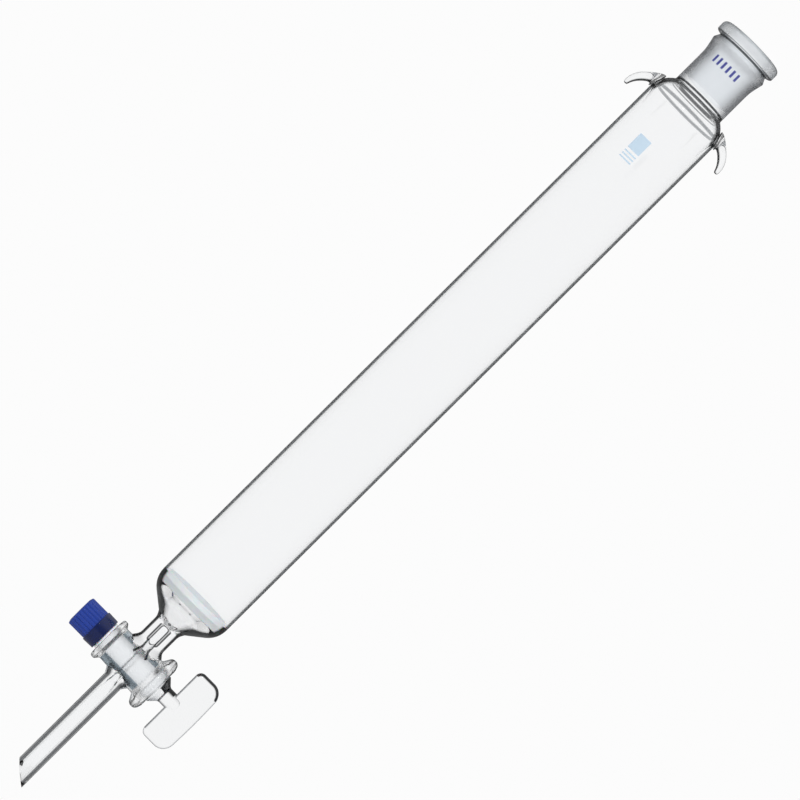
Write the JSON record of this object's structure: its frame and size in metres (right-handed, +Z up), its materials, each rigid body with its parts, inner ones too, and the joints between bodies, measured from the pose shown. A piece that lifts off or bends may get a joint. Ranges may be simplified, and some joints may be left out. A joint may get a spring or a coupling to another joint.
{
  "type": "glass chromatography column with stopcock",
  "caption": "Upright cylindrical glass funnel column with a ground socket, spring hooks, a sintered disc, a ground glass stopcock with a blue plastic nut, and a bevelled drip stem.",
  "frame": {"origin": "on the barrel's axis, halfway up its straight wall", "axes": "+Z up the barrel's axis to the socket, +X along the stopcock key's axis to its handle, +Y away from the front"},
  "size_m": [0.0694, 0.038, 0.4462],
  "materials": {
    "clear_glass": "clear, flame polished",
    "ground_joint_glass": "clear outside, ground matte in the tapered bore",
    "key_glass": "clear handle, ground matte taper",
    "sintered_glass": "matte, porous, pale blue-grey",
    "white_ptfe": "waxy white PTFE",
    "seal_rubber": "silicone, semi-matte",
    "blue_plastic": "glossy moulded polypropylene, ribbed grip"
  },
  "bodies": {
    "column": {"joint_socket": "ground_joint_glass", "barrel": "clear_glass", "hook_left": "clear_glass", "hook_right": "clear_glass", "sintered_disc": "sintered_glass", "base_cone": "clear_glass", "inlet_arm": "clear_glass", "stopcock_shell": "clear_glass", "outlet_stem": "clear_glass"},
    "key": {"stopcock_key": "key_glass", "thrust_washer": "white_ptfe"},
    "seal": {"sealing_ring": "seal_rubber"},
    "nut": {"retaining_nut": "blue_plastic"}
  },
  "joints": [
    {"name": "key_turn", "type": "hinge", "parent": "column", "child": "key", "pos_m": [0, 0, -0.1852], "axis": [1, 0, 0], "continuous": true},
    {"name": "seal_slide", "type": "slide", "parent": "key", "child": "seal", "axis": [-1, 0, 0], "range_m": [0, 0.008]},
    {"name": "nut_turn", "type": "hinge", "parent": "seal", "child": "nut", "pos_m": [-0.0163, 0, -0.1852], "axis": [-1, 0, 0], "range_deg": [0, 1440]}
  ],
  "couplings": [
    {"joint": "seal_slide", "follows": "nut_turn", "m_per_rad": 0.00031831}
  ]
}
